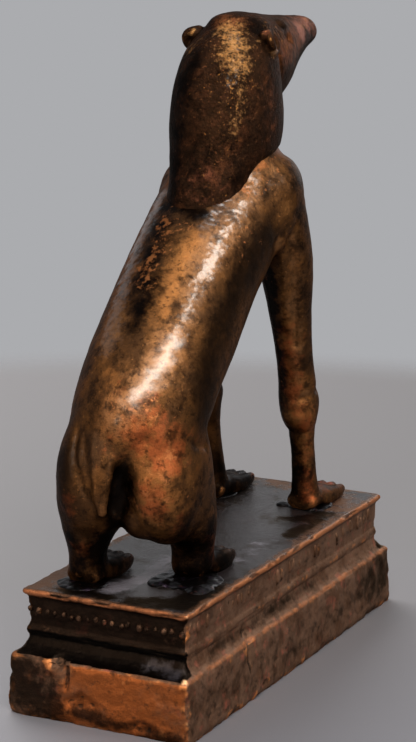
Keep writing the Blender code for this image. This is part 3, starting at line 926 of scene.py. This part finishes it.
beads = makeBeads()
beadCo = verticesOf(beads.data)
beadRise = beading["lumps"] * lumps(beadCo, beading["lumpSize"], 2, 31)
setVertices(beads.data, beadCo + normalsOf(beads.data) * beadRise[:, None])
paintMask(beads.data, "edge", np.clip(lumps(beadCo, 2.0, 2, 33), 0, 0.45))
# the beads' ground is dark on the ends and browner along the sides
paintMask(beads.data, "endBand", np.where(np.abs(beadCo[:, 1]) > plinth["lip"][1] - 1.6, 0.6, 0.3))
beads.data.shade_smooth()
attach(beads, "root")
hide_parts("plinth")

# the solder that has run out round each paw: x, y, half width, half length and height; the last four are runs
fixing = {
    "feet": (
        (-9.5, -29, 4.6, 5, 0.7),
        (10.2, -29, 4.2, 4.6, 0.7),
        (-8.2, 26, 6.2, 6.4, 0.7),
        (7.8, 36, 4.8, 4.6, 0.7),
        (-5.2, -26.6, 1.6, 1.3, 0.84),
        (-11.5, -24.8, 1.3, 1.1, 0.84),
        (-12.2, 30.5, 3.2, 2.4, 0.84),
        (-4.4, 30.2, 2.6, 2.2, 0.84),
    ),
    "voxel": 0.3,
    "passes": 2,
    "sunk": 0.1,
    "lowest": 0.35,
    "rippleSize": 2.6,
    "ripples": 0.3,
    "pitSize": 0.9,
    "pits": 0.1,
}


def makeFixing():
    bm = bmesh.new()
    for k, (x, y, *radii) in enumerate(fixing["feet"]):
        addEgg(bm, (x, y, plinthTop - fixing["sunk"]), radii, (0, 0, 15 * k), 48, 24)
    piece = oneSkin(meshPiece(bm, "pawFixing"), fixing["voxel"], fixing["passes"])
    co = verticesOf(piece.data)
    rise = fixing["ripples"] * lumps(co, fixing["rippleSize"], 2, 41)
    rise += fixing["pits"] * lumps(co, fixing["pitSize"], 2, 42)
    co = co + normalsOf(piece.data) * rise[:, None]
    co[:, 2] = np.maximum(co[:, 2], plinthTop - fixing["lowest"])
    setVertices(piece.data, co)
    piece.data.shade_smooth()
    standOnPlinth(piece)
    return piece


pawFixing = makeFixing()
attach(pawFixing, "root")
print("beads and solder laid")


def fromHex(code):
    # sRGB hex to the linear red, green, blue and alpha that shaders take
    channels = [int(code[i : i + 2], 16) / 255 for i in (1, 3, 5)]
    return (*(c / 12.92 if c <= 0.04045 else ((c + 0.055) / 1.055) ** 2.4 for c in channels), 1)


def addNode(tree, kind, settings, links=None):
    made = tree.nodes.new("ShaderNode" + kind)
    for key, value in settings.items():
        if isinstance(key, int) or key in made.inputs:
            made.inputs[key].default_value = value
        else:
            setattr(made, key, value)
    for key, source in (links or {}).items():
        tree.links.new(source, made.inputs[key])
    return made


# Each finish is a ground (colour, roughness, metal) under layers. A layer's row has the same three, then the size of
# its spots in millimetres and their detail, the levels where it starts and is full, the most that shows, and where it
# follows a painted mask, the mask and how strongly. The coat is spread the same way. Grain is in millimetres.

figureSkin = {"grainLeast": 0.35, "specular": 0.2, "grazing": "#8a7258"}
# cast bronze, chemically browned: warm metal where hands rub it, with a painted highlight along the back, brown to
# black where they don't, with painted shade under the hem, between the legs and under the belly
figurePatinaAndShading = {
    "ground": ("#46301e", 0.48, 0.75),
    "layers": (
        ("#6a4727", 0.46, 0.8, 2.6, 9, 0.4, 0.66, 0.8),  # brown bronze
        ("#8f6036", 0.46, 0.85, 1.2, 9, 0.62, 0.9, 0.85, "copper", 0.36),
        ("#9a522f", 0.46, 0.75, 1.3, 8, 0.62, 0.88, 0.8, "red", 0.36),
        # rubbed bronze, partly a painted highlight along the back and painted glints
        ("#87603f", 0.44, 0.9, 1.6, 9, 0.62, 0.86, 0.8, "wearAndGlint", 0.36),
        ("#22160d", 0.46, 0.75, 1.2, 9, 0.48, 0.64, 0.75),  # dark mottling
        ("#140d09", 0.46, 0.7, 0.45, 6, 0.52, 0.66, 0.65),  # fine black specks
        ("#98683c", 0.4, 0.85, 0.4, 6, 0.59, 0.68, 0.55),  # fine gold specks
        # black patina, and painted shade under the hem, between the legs and under the belly
        ("#060404", 0.4, 0.85, 1.5, 9, 0.57, 0.92, 0.96, "darkPatinaAndShade", 0.42),
        ("#1a110a", 0.45, 0.8, 2.2, 7, 0.6, 1.5, 0.88, "shade", 1),
        ("#a86c42", 0.42, 0.9, 0.8, 9, 0.65, 0.74, 0.85, "flake", 0.16),
        ("#100b08", 0.5, 0.6, 1.2, 3, 0.7, 1, 0.9, "hollow", 0.7),
        ("#a8754a", 0.36, 1, 1, 4, 0.8, 0.97, 0.4, "edge", 0.5),
    ),
    "coat": (0.7, 6, 0.64, 0.92, 1, "sheen", 0.5, 0.05),
    "grain": 0.3,
    "grainDepth": 0.34,
    **figureSkin,
}
# the same bronze left rough from the mould: nearly black, with a gold glitter on the crown that is partly a painted
# highlight, and painted shade in the ears and round the muzzle
manePatinaAndShading = {
    "ground": ("#281a11", 0.52, 0.7),
    "layers": (
        ("#452a1b", 0.52, 0.8, 1.2, 9, 0.44, 0.66, 0.7),  # brown bronze
        ("#6e432a", 0.5, 0.8, 1, 9, 0.66, 0.92, 0.8, "copper", 0.36),
        ("#7c4a36", 0.5, 0.4, 1.2, 8, 0.6, 0.9, 0.9, "red", 0.4),
        ("#1a110c", 0.5, 0.75, 1, 9, 0.49, 0.66, 0.75),  # dark mottling
        # gold on the crown, partly a painted highlight, and painted glints on the ears
        ("#bc8c58", 0.27, 0.95, 0.5, 8, 0.69, 0.97, 0.88, "wearAndGlint", 0.4),
        ("#0e0906", 0.45, 0.7, 0.4, 6, 0.52, 0.62, 0.7),  # fine black specks
        ("#744a30", 0.42, 0.85, 0.45, 6, 0.59, 0.67, 0.5),  # fine copper specks
        # black patina, and painted shade in the ears and round the muzzle
        ("#0a0706", 0.45, 0.85, 1.5, 9, 0.6, 0.94, 0.92, "darkPatinaAndShade", 0.4),
        ("#a5733f", 0.36, 0.95, 0.3, 5, 0.66, 0.76, 0.7, "flake", 0.16),
        ("#0c0806", 0.5, 0.6, 1.2, 3, 0.7, 1, 0.9, "hollow", 0.7),
        ("#b8824a", 0.32, 1, 0.7, 4, 0.8, 1, 0.8, "edge", 0.5),
    ),
    "coat": (0.4, 6, 0.68, 0.94, 0.6, "sheen", 0.5),
    "grain": 0.32,
    "grainDepth": 0.6,
    **figureSkin,
}
# sand-cast bronze: a coarse reddish skin, copper on its faces and arrises, partly painted light on the end faces, and
# a black lacquered top with painted reflections; painted glints on the corners and painted shade in the crack
plinthPatinaAndLight = {
    "ground": ("#664c3c", 0.5, 0.5),
    "layers": (
        ("#4a3020", 0.5, 0.6, 2.4, 8, 0.42, 0.64, 0.8),  # brown bronze
        ("#965444", 0.5, 0.55, 1.4, 8, 0.54, 0.68, 0.7),  # red oxide
        # copper on the end faces, partly painted light
        ("#98552a", 0.46, 0.8, 3.5, 9, 0.7, 0.98, 0.93, "endFaceCopperAndLight", 0.45),
        ("#241a14", 0.5, 0.5, 1.2, 8, 0.54, 0.68, 0.8),  # dark mottling
        ("#c9824e", 0.4, 0.8, 1.4, 8, 0.68, 0.94, 0.8, "edge", 0.5),
        ("#20150e", 0.5, 0.7, 0.6, 8, 0.52, 0.68, 0.55),  # fine dark specks
        ("#0a0706", 0.45, 0.85, 1.6, 7, 0.64, 0.86, 0.93, "endBand", 0.45),
        # darker on the block, with painted shade in the crack and the notch
        ("#0f0b09", 0.45, 0.85, 1.4, 9, 0.64, 0.98, 0.9, "blockDarkening", 0.5),
        ("#050404", 0.3, 0.85, 2, 7, 0.8, 1, 0.98, "ledge", 0.8),
        ("#14100d", 0.45, 0.6, 1.2, 5, 0.76, 1, 0.8, "hollow", 0.6),
        ("#151417", 0.12, 0, 3, 3, 0.85, 1.05, 0.97, "gloss", 0.9),  # glossy black top
        # painted dark reflection of the legs on the top
        ("#080606", 0.5, 0.9, 2, 8, 0.66, 0.9, 0.96, "legReflection", 0.5),
        ("#050506", 0.3, 0.6, 3, 9, 0.72, 0.86, 0.7, "gloss", 0.2),  # blacker spots
        # painted grey reflections on the top
        ("#66646e", 0.22, 0.1, 1.4, 9, 0.66, 1, 0.85, "greyReflection", 0.5),
        # painted bluish-grey reflection on the ledge
        ("#2b2a31", 0.3, 0.2, 1, 9, 0.66, 1, 0.85, "ledgeReflection", 0.5),
        ("#5f4230", 0.42, 0.5, 1, 9, 0.66, 0.98, 0.88, "margin", 0.5),
        ("#966040", 0.46, 0.65, 1.2, 8, 0.68, 0.98, 0.92, "lip", 0.45),
        # painted glints on the corners and at the notch
        ("#f0c090", 0.3, 0.5, 0.9, 5, 0.78, 1, 0.95, "wearAndGlint", 0.5),
    ),
    "grain": 0.4,
    "grainDepth": 0.16,
    "grainLeast": 1,
    "specular": 0.5,
    "grazing": "#d8c4b0",
}
# solder that has run and burnt: black and wet-looking, with violet and rusty spots
solderBlack = {
    "ground": ("#080607", 0.34, 0.85),
    "layers": (
        ("#2a2030", 0.3, 0.7, 0.8, 5, 0.54, 0.66, 0.8),
        ("#5a3430", 0.45, 0.5, 0.5, 3, 0.62, 0.72, 0.8),
    ),
    "grain": 0.4,
    "grainDepth": 0.1,
    "grainLeast": 1,
    "specular": 0.3,
    "grazing": "#ffffff",
}


eased = {"interpolation_type": "SMOOTHSTEP"}


def newMaterial(name):
    material = bpy.data.materials.new(name)
    material.use_nodes = True
    tree = material.node_tree
    return material, tree, tree.nodes["Principled BSDF"], addNode(tree, "TexCoord", {}).outputs["Object"]


def patchy(tree, place, k, size, detail, start, full, most, mask=None, gain=0, least=0):
    # how far a layer shows at each point, from its least to its most
    spots = {
        "noise_dimensions": "4D",
        "W": 3.7 * k,
        "Scale": 1 / (size * mm * 2),
        "Detail": detail,
        "Roughness": 0.68,
    }
    level = addNode(tree, "TexNoise", spots, {"Vector": place}).outputs["Fac"]
    if mask:
        painted = addNode(tree, "Attribute", {"attribute_name": mask}).outputs["Fac"]
        added = {"operation": "MULTIPLY_ADD", 1: gain}
        level = addNode(tree, "Math", added, {0: painted, 2: level}).outputs[0]
    limits = {"From Min": start, "From Max": full, "To Min": least, "To Max": most, **eased}
    return addNode(tree, "MapRange", limits, {"Value": level}).outputs[0]


def bronzeFinish(name, finish):
    material, tree, shader, place = newMaterial(name)
    ground, groundGloss, groundMetal = finish["ground"]
    current = {}
    for part, kind, value in (
        ("Base Color", "RGB", fromHex(ground)),
        ("Roughness", "Value", groundGloss),
        ("Metallic", "Value", groundMetal),
    ):
        current[part] = addNode(tree, kind, {}).outputs[0]
        current[part].default_value = value
    for k, (over, gloss, metal, *spread) in enumerate(finish["layers"]):
        shows = patchy(tree, place, k, *spread)
        # a Mix node's inputs are sockets 6 and 7 for colours, 2 and 3 for numbers
        mix = {"data_type": "RGBA", 7: fromHex(over)}
        under = {0: shows, 6: current["Base Color"]}
        current["Base Color"] = addNode(tree, "Mix", mix, under).outputs[2]
        for part, value in (("Roughness", gloss), ("Metallic", metal)):
            mix = {"data_type": "FLOAT", 3: value}
            current[part] = addNode(tree, "Mix", mix, {0: shows, 2: current[part]}).outputs[0]
    for part, source in current.items():
        tree.links.new(source, shader.inputs[part])
    shader.inputs["Specular IOR Level"].default_value = finish["specular"]
    shader.inputs["Specular Tint"].default_value = fromHex(finish["grazing"])
    if "coat" in finish:
        # a thin wax over the patina gives the pale core of the highlights
        tree.links.new(patchy(tree, place, 20, *finish["coat"]), shader.inputs["Coat Weight"])
        shader.inputs["Coat Roughness"].default_value = 0.2
    grain = {"Scale": 1 / (finish["grain"] * mm * 2), "Detail": 5, "Roughness": 0.7}
    height = addNode(tree, "TexNoise", grain, {"Vector": place}).outputs["Fac"]
    grainy = addNode(tree, "Attribute", {"attribute_name": "rough"}).outputs["Fac"]
    strength = addNode(tree, "MapRange", {"To Min": finish["grainLeast"]}, {"Value": grainy}).outputs[0]
    depth = {"Distance": finish["grainDepth"] * mm}
    bump = addNode(tree, "Bump", depth, {"Height": height, "Strength": strength})
    tree.links.new(bump.outputs[0], shader.inputs["Normal"])
    return material


for name, finish, pieces in (
    ("brownedBronze", figurePatinaAndShading, (body,)),
    ("roughDarkBronze", manePatinaAndShading, (head,)),
    ("sandCastBronze", plinthPatinaAndLight, (casting, beads)),
    ("burntSolder", solderBlack, (pawFixing,)),
):
    material = bronzeFinish(name, finish)
    for piece in pieces:
        piece.data.materials.clear()
        piece.data.materials.append(material)
print("bronze finishes made")

studio = {
    # the near half of the floor is painted lighter than the far half, as painted light
    "floorFar": "#989493",
    "floorNear": "#a09da0",
    "floorToward": (-0.7, 0.7, 0),
    "floorBlend": 0.05,
    "floorGloss": 0.6,
    "floorRadius": 0.275,
    "floorFade": 0.04,
    "wallTone": "#abacaf",
    "roomDim": 0.2,
    "litSide": (0.83, -0.53, 0.15),
    "litFrom": -0.35,
    "litTo": 0.85,
    "lampTarget": (0, 0, 0.06),
}
# soft boxes: one end, the other end and width in metres, power in watts, tone and what each lights
lamps = {
    "windowNear": ((-0.29, -0.2, 0.4), (-0.3, 0.09, 0.4), 0.1, 1.6, "#fff6ea", "bronze"),
    "windowFar": ((-0.3, 0.09, 0.4), (-0.03, 0.43, 0.29), 0.07, 2.15, "#fff6ea", "bronze"),
    "overhead": ((-0.03, -0.2, 0.47), (-0.03, -0.08, 0.47), 0.14, 0.6, "#ffffff", "bronze"),
    "rearFill": ((0.16, 0.46, 0.05), (0.16, 0.46, 0.35), 0.3, 1, "#ffe2c4", "bronze"),
    "sideFill": ((-0.36, 0.16, 0.03), (-0.36, 0.36, 0.1), 0.2, 0.5, "#ffe2c4", "bronze"),
    "frontFill": ((-0.02, -0.55, 0.08), (-0.02, -0.52, 0.3), 0.25, 0.45, "#f1f1f4", "bronze"),
    "floorWash": ((0.36, -0.53, 0.45), (0.36, -0.03, 0.45), 0.5, 2.4, "#fdfdff", "floor"),
    "floorFill": ((-0.35, 0.25, 0.75), (-0.35, 0.95, 0.75), 0.7, 6, "#fdfdff", "floor"),
}
lit = {group: bpy.data.collections.new(group + "Only") for group in ("bronze", "floor")}
for piece in (body, head, casting, beads, pawFixing):
    lit["bronze"].objects.link(piece)
for name, (start, end, width, power, tone, group) in lamps.items():
    light = bpy.data.lights.new(name, "AREA")
    light.shape = "RECTANGLE"
    start, end = Vector(start), Vector(end)
    light.size, light.size_y = width, (end - start).length
    light.energy = power
    light.color = fromHex(tone)[:3]
    middle = (start + end) / 2
    along = (end - start).normalized()
    outward = middle - Vector(studio["lampTarget"])
    outward = (outward - along * outward.dot(along)).normalized()
    facing = Matrix((along.cross(outward), along, outward)).transposed().to_4x4()
    holder = bpy.data.objects.new(name, light)
    holder.matrix_world = Matrix.Translation(middle) @ facing
    holder.visible_camera = False
    holder.light_linking.receiver_collection = lit[group]
    scene.collection.objects.link(holder)

bm = bmesh.new()
bmesh.ops.create_circle(bm, cap_ends=True, segments=96, radius=studio["floorRadius"])
floor = meshPiece(bm, "studioFloor")
lit["floor"].objects.link(floor)
# matt painted board: a pale grey with no gloss, lighter on the near half as painted light, fading into the room at
# its rim
board, tree, shader, place = newMaterial("mattPaintedBoard")
shader.inputs["Roughness"].default_value = studio["floorGloss"]
toward = {"operation": "DOT_PRODUCT", 1: studio["floorToward"]}
across = addNode(tree, "VectorMath", toward, {0: place}).outputs["Value"]
limits = {"From Min": -studio["floorBlend"], "From Max": studio["floorBlend"]}
near = addNode(tree, "MapRange", limits, {"Value": across}).outputs[0]
tones = {6: fromHex(studio["floorFar"]), 7: fromHex(studio["floorNear"])}
tone = addNode(tree, "Mix", {"data_type": "RGBA", **tones}, {0: near})
tree.links.new(tone.outputs[2], shader.inputs["Base Color"])
away = addNode(tree, "VectorMath", {"operation": "LENGTH"}, {0: place}).outputs["Value"]
rim = studio["floorRadius"]
limits = {"From Min": rim - studio["floorFade"], "From Max": rim, "To Min": 1, "To Max": 0, **eased}
fade = addNode(tree, "MapRange", limits, {"Value": away})
tree.links.new(fade.outputs[0], shader.inputs["Alpha"])
floor.data.materials.append(board)

world = bpy.data.worlds.new("paleRoom")
scene.world = world
world.use_nodes = True
# the room is seen as its pale wall, but lights the bronze less from the side where nothing stands
tree = world.node_tree
background = tree.nodes["Background"]
way = addNode(tree, "TexCoord", {}).outputs["Generated"]
toward = {"operation": "DOT_PRODUCT", 1: studio["litSide"]}
facing = addNode(tree, "VectorMath", toward, {0: way}).outputs["Value"]
limits = {"From Min": studio["litFrom"], "From Max": studio["litTo"], "To Min": studio["roomDim"], **eased}
dimmed = addNode(tree, "MapRange", limits, {"Value": facing}).outputs[0]
seen = addNode(tree, "LightPath", {}).outputs["Is Camera Ray"]
strength = addNode(tree, "Math", {"operation": "MAXIMUM"}, {0: dimmed, 1: seen}).outputs[0]
background.inputs["Color"].default_value = fromHex(studio["wallTone"])
tree.links.new(strength, background.inputs["Strength"])
print("studio lit")

# angles in degrees, distances in metres, lens in millimetres
view = {
    "azimuth": 205.699,
    "elevation": 12.611,
    "roll": 0.863,
    "distance": 0.45362,
    "right": -0.00085,
    "up": 0.05295,
    "lens": 116.44,
}
azimuth, elevation, roll = (math.radians(view[name]) for name in ("azimuth", "elevation", "roll"))
flat = math.cos(elevation)
back = Vector((math.sin(azimuth) * flat, -math.cos(azimuth) * flat, math.sin(elevation)))
right = Vector((math.cos(azimuth), math.sin(azimuth), 0))
up = back.cross(right)
right, up = right * math.cos(roll) + up * math.sin(roll), up * math.cos(roll) - right * math.sin(roll)
lens = bpy.data.cameras.new("view")
lens.lens = view["lens"]
lens.clip_start = 0.01
camera = bpy.data.objects.new("view", lens)
position = back * view["distance"] + right * view["right"] + up * view["up"]
camera.matrix_world = Matrix.Translation(position) @ Matrix((right, up, back)).transposed().to_4x4()
scene.collection.objects.link(camera)
scene.camera = camera
scene.view_settings.view_transform = "Standard"
